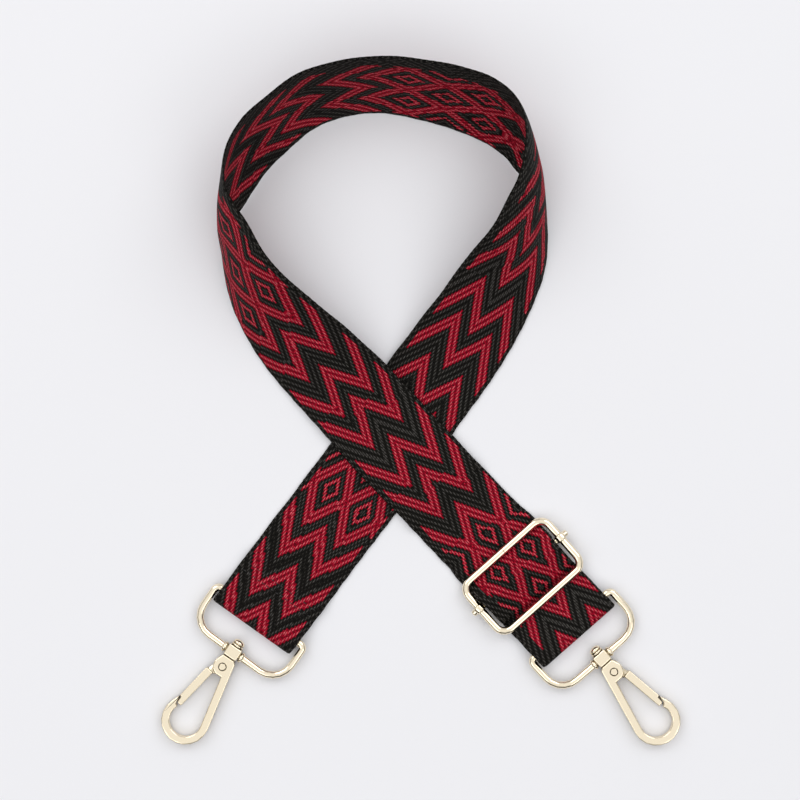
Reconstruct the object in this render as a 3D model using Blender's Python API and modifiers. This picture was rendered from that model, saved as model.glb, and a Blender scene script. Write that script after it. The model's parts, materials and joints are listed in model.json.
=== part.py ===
"""Detachable bag strap: patterned webbing, a sliding adjuster and two swivel snap hooks.

The strap lies on a table as a twisted loop: leg B crosses over leg A, and the loop stands on one
edge at its far side. Each leg ends in a fold round the bar of a rectangular ring, and each ring
carries a swivelling snap hook. Lengths are in metres, the table is the plane z = 0.
"""
import math

import bmesh
import bpy
from mathutils import Matrix, Vector

# Webbing
webbing_width = 0.050
webbing_thickness = 0.0015
clearance = 0.0003
webbing_step = 0.0075
webbing_columns = 4
arc_step = 18.0

# Where the legs cross, how long they are and which way they and their fittings point (degrees)
crossing_x = -0.0153
crossing_y = -0.0179
loop_span = 0.1758
leg_a_length = 0.1252
leg_a_angle = 233.0
clasp_a_angle = 234.5
leg_b_length = 0.1453
leg_b_angle = -46.3
clasp_b_angle = -48.65

# Folds round the ring bars
fold_slack = 0.0042
fold_flap = 0.030
fold_bend = 0.006
flap_seam = 0.012
plain_run = 0.020

# Ring with the swivel eye in its lower bar
ring_side_room = 0.0015
ring_wire = 0.0020
ring_height = 0.0242
ring_top_corner = 0.0027
ring_low_corner = 0.0120
ring_side_shift = -0.0006
eye_offset = 0.0010
eye_width = 0.0080
eye_depth = 0.0067
eye_height = 0.0060
eye_edge = 0.0008
eye_groove_width = 0.0005
eye_groove_radius = 0.00215
eye_collar_length = 0.0019
eye_collar_radius = 0.0029
eye_collar_edge = 0.0006

# Swivel shank, its domed head and washer
shank_radius = 0.0015
head_radius = 0.0032
head_height = 0.0024
head_brim = 0.0006
washer_radius = 0.0034
washer_thickness = 0.0012

# Snap hook, measured from the centre of its hub
hook_thickness = 0.0050
hook_edge = 0.0007
hub_radius = 0.0053
hub_from_bar = 0.0095
neck_width = 0.0070
shoulder_width = 0.0100
bow_offset = 0.0005
bow_reach = 0.0350
bow_outer = 0.0130
bow_inner = 0.0086
crotch_x = 0.0025
crotch_y = 0.0050
nose_x = 0.0098
nose_y = 0.0260
nose_step_x = 0.0091
nose_step_y = 0.0302
nose_inner_y = 0.0314
slot_width = 0.0028

# Gate, its pin and its spring
gate_thickness = 0.0046
gate_width = 0.0045
gate_root_x = 0.0046
gate_root_y = 0.0053
gate_tip_x = 0.0076
tongue_thickness = 0.0012
tongue_offset = 0.0005
tongue_radius = 0.0038
tongue_reach = 0.0016
gate_edge = 0.0005
pin_radius = 0.0019
pin_edge = 0.0002
pin_stand = 0.0001
spring_wire = 0.00016
spring_turns = 1.25
spring_pitch = 0.0005
spring_leg = 0.0030

# Adjuster
frame_side_room = 0.0016
frame_side_shift = -0.0003
frame_wire = 0.0021
frame_height = 0.0338
frame_corner = 0.0060
frame_gap = 0.0006
slider_from_fold = 0.0448
bar_offset = 0.0022
bar_radius = 0.00175
bar_sleeve_wall = 0.0008
bar_sleeve_length = 0.0038
bar_sleeve_edge = 0.0005
bar_nub_reach = 0.0014
bar_nub_edge = 0.0006
tail_reach = 0.012
run_start = 0.108
run_step_down = 0.0105
loop_reach = 0.022

# The loop, as seen from above and measured from the crossing. Each row gives the middle of the
# webbing (x and y as shares of loop_span), the compass bearing from its lower edge to its raised
# edge, how far that edge is lifted (both in degrees), how far the webbing bulges between its
# edges (a share of its width), and how many layers it lies on.
loop_shares = (
    (0.000, 0.000, 144.5, 0, 0.00, 0),
    (0.107, 0.158, 145.0, 1, 0.00, 0),
    (0.164, 0.234, 144.5, 6, 0.00, 0),
    (0.243, 0.344, 143.2, 16, 0.01, 0),
    (0.332, 0.490, 146.0, 32, 0.03, 0),
    (0.377, 0.572, 152.0, 45, 0.05, 0),
    (0.406, 0.680, 154.0, 59, 0.08, 0),
    (0.416, 0.742, 147.0, 67, 0.10, 0),
    (0.411, 0.803, 124.0, 72, 0.12, 0),
    (0.400, 0.843, 98.0, 69, 0.12, 0),
    (0.383, 0.890, 87.0, 61, 0.11, 0),
    (0.356, 0.936, 87.0, 56, 0.10, 0),
    (0.300, 0.981, 89.0, 54, 0.08, 0),
    (0.201, 1.021, 86.0, 57, 0.06, 0),
    (0.092, 1.047, 87.0, 60, 0.04, 0),
    (-0.038, 1.062, 89.0, 63, 0.04, 0),
    (-0.155, 1.048, 93.0, 63, 0.04, 0),
    (-0.251, 1.016, 103.0, 62, 0.05, 0),
    (-0.346, 0.944, 113.0, 62, 0.06, 0),
    (-0.412, 0.880, 117.0, 62, 0.07, 0),
    (-0.455, 0.810, 116.0, 64, 0.08, 0),
    (-0.478, 0.748, 104.0, 68, 0.09, 0),
    (-0.491, 0.702, 84.0, 72, 0.09, 0),
    (-0.490, 0.656, 58.0, 69, 0.09, 0),
    (-0.471, 0.601, 46.0, 64, 0.08, 0),
    (-0.428, 0.479, 46.0, 52, 0.05, 0),
    (-0.364, 0.384, 49.0, 40, 0.03, 0),
    (-0.289, 0.302, 46.5, 29, 0.01, 0),
    (-0.200, 0.213, 46.3, 18, 0.00, 0.5),
    (-0.113, 0.125, 46.0, 8, 0.00, 1),
    (0.000, 0.000, 43.8, 0, 0.00, 1),
)

# Values that follow from the sizes above
half_width = webbing_width / 2
ring_arm = half_width + ring_side_room + ring_wire
frame_arm = half_width + frame_side_room + frame_wire
ring_bar_height = webbing_thickness + clearance + ring_wire
ring_wrap = ring_wire + clearance + webbing_thickness / 2
bar_wrap = bar_radius + clearance + webbing_thickness / 2
frame_wrap = frame_wire + frame_gap + webbing_thickness / 2
fold_centre = -(ring_wrap + webbing_thickness / 2)
ring_bar_place = fold_centre - fold_slack
frame_top_height = webbing_thickness + frame_gap + frame_wire
frame_low_height = frame_top_height + webbing_thickness + clearance
frame_tilt = math.asin((frame_low_height - frame_top_height) / frame_height)
frame_mid_height = (frame_top_height + frame_low_height) / 2
bar_place = -slider_from_fold - bar_offset * math.cos(frame_tilt)
bar_height = frame_mid_height - bar_offset * math.sin(frame_tilt)
frame_half_run = frame_height / 2 * math.cos(frame_tilt)
hub_place = ring_height + hub_from_bar
hook_end = hub_place + bow_reach + bow_outer
slot_wall = tongue_radius + clearance
clasp_tilt = math.asin((ring_bar_height - hook_thickness / 2) / hook_end)


def layer(count):
    """Height of the middle of a webbing layer that lies on this many others."""
    return webbing_thickness / 2 + count * (webbing_thickness + clearance)


def bearing(angle):
    return Vector((math.cos(math.radians(angle)), math.sin(math.radians(angle)), 0.0))


def belt(rollers, closed=False, run=None):
    """Points of a path that wraps round rollers in turn, like a belt.

    A roller is (x, y, radius, turn): turn is 1 where the path turns left round it and -1 where
    it turns right. A corner or an end has radius 0.
    """
    count = len(rollers)
    spans = count if closed else count - 1
    headings = []
    for i in range(spans):
        x0, y0, r0, t0 = rollers[i]
        x1, y1, r1, t1 = rollers[(i + 1) % count]
        distance = math.hypot(x1 - x0, y1 - y0)
        skew = (t1 * r1 - t0 * r0) / distance
        headings.append(math.atan2(y1 - y0, x1 - x0) - math.asin(max(-1.0, min(1.0, skew))))
    points = []
    for i, (x, y, radius, turn) in enumerate(rollers):
        first = headings[i - 1] if closed or i else headings[0]
        last = headings[i] if i < spans else headings[-1]
        if radius == 0:
            points.append((x, y))
            continue
        sweep = (last - first) * turn % math.tau
        if sweep > math.radians(350):
            sweep = 0.0
        steps = max(1, math.ceil(sweep / math.radians(arc_step)))
        for k in range(steps + 1):
            heading = first + turn * sweep * k / steps
            points.append((x + turn * radius * math.sin(heading), y - turn * radius * math.cos(heading)))
            if sweep == 0.0:
                break
    if run is None:
        return points
    spaced = [points[0]]
    for start, end in zip(points, points[1:]):
        pieces = max(1, math.ceil(math.dist(start, end) / run))
        for k in range(1, pieces + 1):
            share = k / pieces
            spaced.append((start[0] + (end[0] - start[0]) * share, start[1] + (end[1] - start[1]) * share))
    return spaced


def leg_place(length, angle, reach, height):
    """A point on a leg: reach is measured outwards from the end of its fold."""
    return Vector((crossing_x, crossing_y, height)) + bearing(angle) * (length + reach)


def leg_stations(length, angle, width_bearing, path):
    return [(leg_place(length, angle, u, z), bearing(width_bearing), 0.0) for u, z in path]


def smooth(knots, rows, at):
    """Value at one place of a curve that runs smoothly through rows of numbers."""
    i = 0
    while i < len(knots) - 2 and at > knots[i + 1]:
        i += 1

    def slope(k, column):
        low = max(k - 1, 0)
        high = min(k + 1, len(knots) - 1)
        if low == k or high == k:
            return (rows[high][column] - rows[low][column]) / (knots[high] - knots[low])
        before = (rows[k][column] - rows[low][column]) / (knots[k] - knots[low])
        after = (rows[high][column] - rows[k][column]) / (knots[high] - knots[k])
        gap_before = knots[k] - knots[low]
        gap_after = knots[high] - knots[k]
        return (before * gap_after + after * gap_before) / (gap_before + gap_after)

    span = knots[i + 1] - knots[i]
    t = (at - knots[i]) / span
    values = []
    for column in range(len(rows[0])):
        start = rows[i][column] * (2 * t ** 3 - 3 * t ** 2 + 1)
        start += slope(i, column) * span * (t ** 3 - 2 * t ** 2 + t)
        end = rows[i + 1][column] * (3 * t ** 2 - 2 * t ** 3)
        end += slope(i + 1, column) * span * (t ** 3 - t ** 2)
        values.append(start + end)
    return values


def loop_stations():
    """Stations of the webbing from leg A's fold seam, round the loop, to the adjuster's run."""
    width_a = clasp_a_angle - 90
    width_b = clasp_b_angle + 90
    seam_end = fold_flap + plain_run
    start = leg_place(leg_a_length, leg_a_angle, -seam_end, 0)
    middle = leg_place(leg_a_length, leg_a_angle, -(seam_end + leg_a_length) / 2, 0)
    finish = leg_place(leg_b_length, leg_b_angle, -(run_start + clearance), 0)
    rows = [(start.x, start.y, width_a, 0, 0, 0), (middle.x, middle.y, leg_a_angle - 90, 0, 0, 0)]
    for x_share, y_share, width_bearing, lift, bow_share, layers in loop_shares:
        x = crossing_x + x_share * loop_span
        y = crossing_y + y_share * loop_span
        rows.append((x, y, width_bearing, lift, bow_share, layers))
    rows.append((finish.x, finish.y, width_b, 0, 0, 1))
    knots = [0.0]
    for before, after in zip(rows, rows[1:]):
        knots.append(knots[-1] + math.dist(before[:2], after[:2]))
    count = round(knots[-1] / webbing_step)
    stations = []
    for k in range(1, count + 1):
        x, y, width_bearing, lift, bow_share, layers = smooth(knots, rows, knots[-1] * k / count)
        lift = math.radians(max(lift, 0.0))
        width = bearing(width_bearing) * math.cos(lift) + Vector((0, 0, math.sin(lift)))
        height = layer(layers) + half_width * math.sin(lift)
        stations.append((Vector((x, y, height)), width, bow_share * webbing_width))
    return stations


def new_collection(name):
    collection = bpy.data.collections.new(name)
    bpy.context.scene.collection.children.link(collection)
    return collection


def add_object(name, data, frame=None, parent=None, cutter=False):
    obj = bpy.data.objects.new(name, data)
    (cutters if cutter else strap).objects.link(obj)
    if cutter:
        obj.hide_render = True
        obj.display_type = 'WIRE'
    obj.parent = parent
    if frame is not None:
        obj.matrix_local = frame
    return obj


def finish(obj, colour, metallic, roughness):
    """Give a piece its own plain material and smooth shading with crisp edges."""
    material = bpy.data.materials.new(obj.name + "_finish")
    material.use_nodes = True
    shader = material.node_tree.nodes["Principled BSDF"]
    shader.inputs["Base Color"].default_value = (*colour, 1.0)
    shader.inputs["Metallic"].default_value = metallic
    shader.inputs["Roughness"].default_value = roughness
    obj.data.materials.clear()
    obj.data.materials.append(material)
    obj.data.shade_smooth()
    obj.data.set_sharp_from_angle(angle=math.radians(35))
    return obj


def brass(obj):
    return finish(obj, (0.86, 0.74, 0.52), 1.0, 0.18)


def webbing(name, stations):
    """A length of webbing: a flat grid bent along its stations and given its thickness."""
    mesh = bpy.data.meshes.new(name)
    grid = bmesh.new()
    rows = len(stations) - 1
    bmesh.ops.create_grid(grid, x_segments=rows, y_segments=webbing_columns, size=1.0)
    for vertex in grid.verts:
        k = round((vertex.co.x + 1) / 2 * rows)
        across = vertex.co.y
        centre, width, bow = stations[k]
        travel = stations[min(k + 1, rows)][0] - stations[max(k - 1, 0)][0]
        face = travel.cross(width).normalized()
        vertex.co = centre + width * (across * half_width) + face * (bow * (1 - across ** 2))
    grid.to_mesh(mesh)
    grid.free()
    obj = add_object(name, mesh)
    solid = obj.modifiers.new("thickness", 'SOLIDIFY')
    solid.thickness = webbing_thickness
    solid.offset = 0.0
    solid.use_even_offset = True
    return finish(obj, (0.03, 0.03, 0.03), 0.0, 0.85)


def mesh_from(obj, name):
    """Turn a curve object into a welded mesh of the same shape and remove the curve."""
    view = bpy.context.evaluated_depsgraph_get()
    mesh = bpy.data.meshes.new_from_object(obj.evaluated_get(view))
    mesh.name = name
    shape = bmesh.new()
    shape.from_mesh(mesh)
    bmesh.ops.remove_doubles(shape, verts=shape.verts, dist=0.000001)
    flat = [edge for edge in shape.edges if len(edge.link_faces) == 2 and edge.calc_face_angle() < 0.001]
    bmesh.ops.dissolve_edges(shape, edges=flat, use_verts=False)
    bmesh.ops.recalc_face_normals(shape, faces=shape.faces)
    shape.to_mesh(mesh)
    shape.free()
    bpy.data.objects.remove(obj)
    return mesh


def tube(name, points, radius, closed=False, sides=4):
    """A wire along the points, as a mesh."""
    curve = bpy.data.curves.new(name, 'CURVE')
    curve.dimensions = '3D'
    curve.bevel_depth = radius
    curve.bevel_resolution = sides
    curve.use_fill_caps = not closed
    spline = curve.splines.new('POLY')
    spline.points.add(len(points) - 1)
    for point, place in zip(spline.points, points):
        point.co = (*place, 1.0)
    spline.use_cyclic_u = closed
    return mesh_from(add_object(name, curve), name)


def plate(name, outline, thickness):
    """A flat plate cut to an outline, its middle in the plane z = 0, as a mesh."""
    curve = bpy.data.curves.new(name, 'CURVE')
    curve.dimensions = '2D'
    curve.fill_mode = 'BOTH'
    curve.extrude = thickness / 2
    spline = curve.splines.new('POLY')
    spline.points.add(len(outline) - 1)
    for point, place in zip(spline.points, outline):
        point.co = (*place, 0.0, 1.0)
    spline.use_cyclic_u = True
    return mesh_from(add_object(name, curve), name)


def turned(name, profile, steps=20):
    """A solid turned round +Y from a profile of (radius, place along Y), listed from -Y to +Y."""
    mesh = bpy.data.meshes.new(name)
    shape = bmesh.new()
    corners = [shape.verts.new((radius, 0.0, -y)) for radius, y in profile]
    for before, after in zip(corners, corners[1:]):
        shape.edges.new((before, after))
    shape.to_mesh(mesh)
    shape.free()
    obj = add_object(name, mesh)
    screw = obj.modifiers.new("turn", 'SCREW')
    screw.axis = 'Z'
    screw.steps = steps
    screw.render_steps = steps
    screw.use_merge_vertices = True
    screw.merge_threshold = 0.00001
    screw.use_normal_calculate = True
    solid = mesh_from(obj, name)
    solid.transform(Matrix.Rotation(math.radians(90), 4, 'X'))
    return solid


def box(name, low, high):
    mesh = bpy.data.meshes.new(name)
    shape = bmesh.new()
    bmesh.ops.create_cube(shape, size=1.0)
    middle = (Vector(low) + Vector(high)) / 2
    size = Vector(high) - Vector(low)
    for vertex in shape.verts:
        vertex.co = middle + Vector(a * b for a, b in zip(vertex.co, size))
    shape.to_mesh(mesh)
    shape.free()
    return mesh


def bevel(obj, width, segments=2):
    edge = obj.modifiers.new("edge", 'BEVEL')
    edge.width = width
    edge.segments = segments
    edge.limit_method = 'ANGLE'
    edge.angle_limit = math.radians(38)
    edge.use_clamp_overlap = False


def combine(obj, mesh, operation, frame=None):
    """Join another shape to a piece, or cut it away, with an exact boolean."""
    other = add_object(obj.name + "_" + mesh.name, mesh, frame, obj.parent, cutter=True)
    boolean = obj.modifiers.new(mesh.name, 'BOOLEAN')
    boolean.operation = operation
    boolean.solver = 'EXACT'
    boolean.object = other
    return other


def cylinder_y(name, radius, start, end, edge=0.0, steps=20):
    if edge:
        inner = radius - edge
        profile = [(0, start), (inner, start), (radius, start + edge), (radius, end - edge), (inner, end), (0, end)]
    else:
        profile = [(0, start), (radius, start), (radius, end), (0, end)]
    return turned(name, profile, steps)


def cylinder_x(name, profile, steps=20):
    mesh = turned(name, profile, steps)
    mesh.transform(Matrix.Rotation(math.radians(-90), 4, 'Z'))
    return mesh


def cylinder_z(name, profile, steps=20):
    mesh = turned(name, profile, steps)
    mesh.transform(Matrix.Rotation(math.radians(90), 4, 'X'))
    return mesh


def pivot(name, frame, parent=None):
    empty = add_object(name, None, frame, parent)
    empty.empty_display_size = ring_wire
    return empty


def ring(name, parent, side):
    """A rectangular wire ring, its lower bar swelling into the eye that the swivel turns in."""
    corners = [
        (-ring_arm + ring_top_corner, ring_top_corner, ring_top_corner, 1),
        (ring_arm - ring_top_corner, ring_top_corner, ring_top_corner, 1),
        (ring_arm - ring_low_corner, ring_height - ring_low_corner, ring_low_corner, 1),
        (-ring_arm + ring_low_corner, ring_height - ring_low_corner, ring_low_corner, 1),
    ]
    path = [(x, y, 0.0) for x, y in belt(corners, closed=True)]
    obj = add_object(name, tube(name, path, ring_wire, closed=True), None, parent)
    eye_x = side * eye_offset
    block = box("eye", (eye_x - eye_width / 2, ring_height - eye_depth / 2, -eye_height / 2),
                (eye_x + eye_width / 2, ring_height + eye_depth / 2, eye_height / 2))
    bevel(combine(obj, block, 'UNION'), eye_edge)
    groove = eye_width / 2 + eye_groove_width
    half = groove + eye_collar_length
    rise = eye_collar_radius - eye_groove_radius
    side_profile = [(0, half), (eye_groove_radius, half), (eye_collar_radius, half - eye_collar_edge),
                    (eye_collar_radius, groove + rise / 2), (eye_groove_radius, groove)]
    collar = cylinder_x("collars", [(radius, -x) for radius, x in side_profile] + side_profile[::-1])
    collar.transform(Matrix.Translation((eye_x, ring_height, 0)))
    combine(obj, collar, 'UNION')
    hole = cylinder_y("swivel_hole", shank_radius + clearance, ring_height - eye_depth, ring_height + eye_depth)
    hole.transform(Matrix.Translation((eye_x, 0, 0)))
    combine(obj, hole, 'DIFFERENCE')
    return brass(obj)


def washer(name, parent):
    """The washer between the swivel's domed head and the ring's eye."""
    start = -hub_from_bar - eye_depth / 2 - clearance - washer_thickness
    mesh = cylinder_y(name, washer_radius, start, start + washer_thickness, head_brim / 2)
    obj = add_object(name, mesh, None, parent)
    hole = cylinder_y("hole", shank_radius + clearance, start - washer_thickness, start + 2 * washer_thickness)
    combine(obj, hole, 'DIFFERENCE')
    return brass(obj)


def hook(name, parent):
    """The snap hook: neck, forked hub, spine, bow and stepped nose, with the swivel shank."""
    neck_start = eye_depth / 2 + clearance - hub_from_bar
    bow_x = -bow_offset
    outline = belt([
        (neck_width / 2, neck_start, 0, 1),
        (-neck_width / 2, neck_start, 0, 1),
        (-shoulder_width / 2, neck_start + (shoulder_width - neck_width) / 2, 0, 1),
        (bow_x, bow_reach, bow_outer, -1),
        (nose_x, nose_y, 0, 1),
        (nose_step_x, nose_y, 0, 1),
        (nose_step_x, nose_step_y, 0, 1),
        (bow_x + bow_inner * math.cos(math.asin((bow_reach - nose_inner_y) / bow_inner)), nose_inner_y, 0, 1),
        (bow_x, bow_reach, bow_inner, 1),
        (-crotch_x, crotch_y, 0, 1),
        (0, 0, hub_radius, -1),
    ], closed=True)
    obj = add_object(name, plate(name, outline, hook_thickness), None, parent)
    bevel(obj, hook_edge)
    head_end = -hub_from_bar - eye_depth / 2 - 2 * clearance - washer_thickness
    head_start = head_end - head_height
    dome = [(head_radius * math.sin(math.radians(a)), head_end - head_brim - (head_height - head_brim)
             * math.cos(math.radians(a))) for a in (0, 20, 40, 60, 75, 90)]
    profile = dome + [(head_radius, head_end), (shank_radius, head_end), (shank_radius, -slot_wall - clearance),
                      (0, -slot_wall - clearance)]
    assert abs(dome[0][1] - head_start) < clearance
    combine(obj, turned("shank", profile), 'UNION')
    reach = 2 * hub_radius
    slot = belt([(0, 0, slot_wall, 1), (reach, -slot_wall, 0, 1), (reach, reach, 0, 1),
                 (-crotch_x / 2, reach, 0, 1)], closed=True)
    combine(obj, plate("fork_slot", slot, slot_width), 'DIFFERENCE')
    combine(obj, cylinder_z("pin_hole", [(0, -hook_thickness), (pin_radius + clearance, -hook_thickness),
                                         (pin_radius + clearance, hook_thickness), (0, hook_thickness)]), 'DIFFERENCE')
    return brass(obj)


def gate(name, parent):
    """The sprung gate: a thick lever whose thin tongue turns between the cheeks of the hub."""
    lip_y = nose_y - clearance
    lip_x = nose_step_x - clearance
    tip_y = nose_step_y - 2 * clearance
    lean = math.atan2(gate_tip_x - gate_root_x, lip_y - gate_root_y)
    side = Vector((math.cos(lean), -math.sin(lean)))
    root = Vector((gate_root_x, gate_root_y))
    tip = Vector((gate_tip_x, lip_y))
    outer_root = root + side * (gate_width / 2)
    inner_root = root - side * (gate_width / 2)
    outer_tip = tip + side * (gate_width / 2)
    inner_tip = tip - side * (gate_width / 2)
    inner_end = inner_tip + (inner_tip - inner_root).normalized() * (tip_y - lip_y)
    outline = [inner_root, outer_root, Vector((outer_tip.x, lip_y)), Vector((lip_x, lip_y)),
               Vector((lip_x, tip_y - gate_edge)), Vector((lip_x - gate_edge, tip_y)), inner_end]
    obj = add_object(name, plate(name, outline, gate_thickness), None, parent)
    bevel(obj, gate_edge)
    arm = root + (tip - root).normalized() * tongue_reach
    half = gate_width / 2 - gate_edge
    tongue = plate("tongue", belt([(0, 0, tongue_radius, -1), (arm.x - half, arm.y, 0, 1),
                                   (arm.x + half, arm.y, 0, 1)], closed=True), tongue_thickness)
    tongue.transform(Matrix.Translation((0, 0, tongue_offset)))
    combine(obj, tongue, 'UNION')
    combine(obj, cylinder_z("pin_hole", [(0, -hook_thickness), (pin_radius + clearance, -hook_thickness),
                                         (pin_radius + clearance, hook_thickness), (0, hook_thickness)]), 'DIFFERENCE')
    return brass(obj)


def gate_pin(name, parent):
    half = hook_thickness / 2 + pin_stand
    inner = pin_radius - pin_edge
    profile = [(0, -half), (inner, -half), (pin_radius, pin_edge - half), (pin_radius, half - pin_edge),
               (inner, half), (0, half)]
    return brass(add_object(name, cylinder_z(name, profile, 24), None, parent))


def gate_spring(name, parent):
    """A torsion spring round the pin: one leg against the fork, the other against the gate."""
    radius = pin_radius + clearance + spring_wire
    height = -slot_width / 2 + clearance + spring_wire / 2
    steps = round(spring_turns * 10)
    first = math.radians(200)
    points = []
    for k in range(steps + 1):
        angle = first - spring_turns * math.tau * k / steps
        points.append(Vector((radius * math.cos(angle), radius * math.sin(angle), height + spring_pitch * spring_turns
                              * k / steps)))
    entry = Vector((math.sin(first), -math.cos(first), 0)) * (slot_wall / 3)
    leave = Vector((math.sin(angle), -math.cos(angle), 0)) * spring_leg
    points = [points[0] - entry] + points + [points[-1] + leave]
    obj = add_object(name, tube(name, points, spring_wire, sides=1), None, parent)
    return finish(obj, (0.5, 0.5, 0.5), 1.0, 0.3)


def clasp(letter, length, angle, outward, turned_over):
    """A ring on its pivot bar, the hook on its swivel and the gate on its pin."""
    place = Matrix.Translation(leg_place(length, angle, ring_bar_place, ring_bar_height))
    heading = Matrix.Rotation(math.radians(outward - 90), 4, 'Z') @ Matrix.Translation((ring_side_shift, 0, 0))
    ring_pivot = pivot("ring_" + letter + "_pivot", place @ heading @ Matrix.Rotation(-clasp_tilt, 4, 'X'))
    side = -1 if turned_over else 1
    hub = Matrix.Translation((side * eye_offset, hub_place, 0))
    if turned_over:
        hub = hub @ Matrix.Rotation(math.pi, 4, 'Y')
    hook_pivot = pivot("hook_" + letter + "_pivot", hub, ring_pivot)
    ring("ring_" + letter, ring_pivot, side)
    hook("snap_hook_" + letter, hook_pivot)
    washer("swivel_washer_" + letter, hook_pivot)
    gate("gate_" + letter, hook_pivot)
    gate_pin("gate_pin_" + letter, hook_pivot)
    gate_spring("gate_spring_" + letter, hook_pivot)


def webbing_main():
    """Flap and fold of leg A, the leg, the loop and leg B as far as the adjuster's run."""
    seam = ring_bar_place - flap_seam
    crest = layer(1) - fold_bend
    path = belt([
        (-fold_flap, layer(0), 0, 1),
        (fold_centre, ring_bar_height, ring_wrap, 1),
        (ring_bar_place, ring_bar_height, ring_wrap, 1),
        (seam, layer(1) + fold_bend, fold_bend, -1),
        (-fold_flap - clearance, crest, fold_bend, 1),
        (-fold_flap - plain_run / 2, layer(0) + fold_bend, fold_bend, -1),
        (-fold_flap - plain_run, layer(0), 0, 1),
    ], run=webbing_step)
    stations = leg_stations(leg_a_length, leg_a_angle, clasp_a_angle - 90, path)
    return webbing("webbing_main", stations + loop_stations())


def webbing_run():
    """The stretch of leg B that the adjuster slides on, woven under, over and under its bars."""
    path = belt([
        (-run_start, layer(1), 0, 1),
        (-run_start + fold_bend / 2, layer(1) - fold_bend, fold_bend, -1),
        (-run_start + run_step_down, layer(0) + fold_bend, fold_bend, 1),
        (-slider_from_fold - frame_half_run, frame_top_height, frame_wrap, 1),
        (bar_place, bar_height, bar_wrap + webbing_thickness + clearance, -1),
        (-slider_from_fold + frame_half_run, frame_low_height, frame_wrap, 1),
        (-loop_reach - clearance, layer(1), 0, 1),
    ], run=webbing_step)
    return webbing("webbing_run", leg_stations(leg_b_length, leg_b_angle, clasp_b_angle + 90, path))


def webbing_end_loop():
    """Leg B's fold round the ring bar."""
    seam = ring_bar_place - flap_seam
    path = belt([
        (-loop_reach, layer(1), 0, 1),
        (seam, layer(1) + fold_bend, fold_bend, 1),
        (ring_bar_place, ring_bar_height, ring_wrap, -1),
        (fold_centre, ring_bar_height, ring_wrap, -1),
        (-loop_reach, layer(0), 0, 1),
    ], run=webbing_step)
    return webbing("webbing_end_loop", leg_stations(leg_b_length, leg_b_angle, clasp_b_angle + 90, path))


def webbing_return():
    """The doubled stretch under leg B: back from the fold and sewn round the adjuster's bar."""
    lift_start = -slider_from_fold + frame_half_run - 2 * frame_wire
    path = belt([
        (-loop_reach - clearance, layer(0), 0, 1),
        (lift_start, layer(0) + fold_bend, fold_bend, -1),
        (bar_place, bar_height, bar_wrap, -1),
        (bar_place + tail_reach, 2 * webbing_thickness, 0, 1),
    ], run=webbing_step)
    return webbing("webbing_return", leg_stations(leg_b_length, leg_b_angle, clasp_b_angle + 90, path))


def adjuster():
    """Wire frame and the bar, whose end sleeves slide along the frame's two sides."""
    place = Matrix.Translation(leg_place(leg_b_length, leg_b_angle, -slider_from_fold, frame_mid_height))
    heading = Matrix.Rotation(math.radians(clasp_b_angle - 90), 4, 'Z')
    frame = place @ heading @ Matrix.Translation((frame_side_shift, 0, 0)) @ Matrix.Rotation(frame_tilt, 4, 'X')
    across = frame_arm - frame_corner
    along = frame_height / 2 - frame_corner
    corners = [(-across, -along, frame_corner, 1), (across, -along, frame_corner, 1),
               (across, along, frame_corner, 1), (-across, along, frame_corner, 1)]
    path = [(x, y, 0.0) for x, y in belt(corners, closed=True)]
    brass(add_object("adjuster_frame", tube("adjuster_frame", path, frame_wire, closed=True), frame))

    bar_frame = frame @ Matrix.Translation((0, -bar_offset, 0))
    sleeve_radius = frame_wire + clearance + bar_sleeve_wall
    half = frame_arm + sleeve_radius + bar_nub_reach
    nub = bar_radius - bar_nub_edge
    rod = cylinder_x("adjuster_bar", [(0, -half), (nub, -half), (bar_radius, bar_nub_edge - half),
                                      (bar_radius, half - bar_nub_edge), (nub, half), (0, half)])
    obj = add_object("adjuster_bar", rod, bar_frame)
    for side in (-1, 1):
        sleeve = cylinder_y("sleeve", sleeve_radius, -bar_sleeve_length / 2, bar_sleeve_length / 2, bar_sleeve_edge)
        sleeve.transform(Matrix.Translation((side * frame_arm, 0, 0)))
        combine(obj, sleeve, 'UNION').matrix_local = bar_frame
        hole = cylinder_y("side_hole", frame_wire + clearance, -bar_sleeve_length, bar_sleeve_length)
        hole.transform(Matrix.Translation((side * frame_arm, 0, 0)))
        combine(obj, hole, 'DIFFERENCE').matrix_local = bar_frame
    brass(obj)


for old in list(bpy.data.objects):
    bpy.data.objects.remove(old)
strap = new_collection("bag_strap")
cutters = new_collection("cutters")
webbing_main()
webbing_run()
webbing_end_loop()
webbing_return()
adjuster()
clasp("a", leg_a_length, leg_a_angle, clasp_a_angle, False)
clasp("b", leg_b_length, leg_b_angle, clasp_b_angle, True)
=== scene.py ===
# %% [markdown]
# # A patterned webbing bag strap
#
# The strap is one long band of woven webbing with a ring and a swivel snap hook at each end and a
# wire slider on one leg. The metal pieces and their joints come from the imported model, so they are
# already in their places. Here they get their finish, the webbing gets its weave, its pattern and
# its sewing, and the scene gets its camera, light and floor.

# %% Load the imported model
import json
import math

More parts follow.
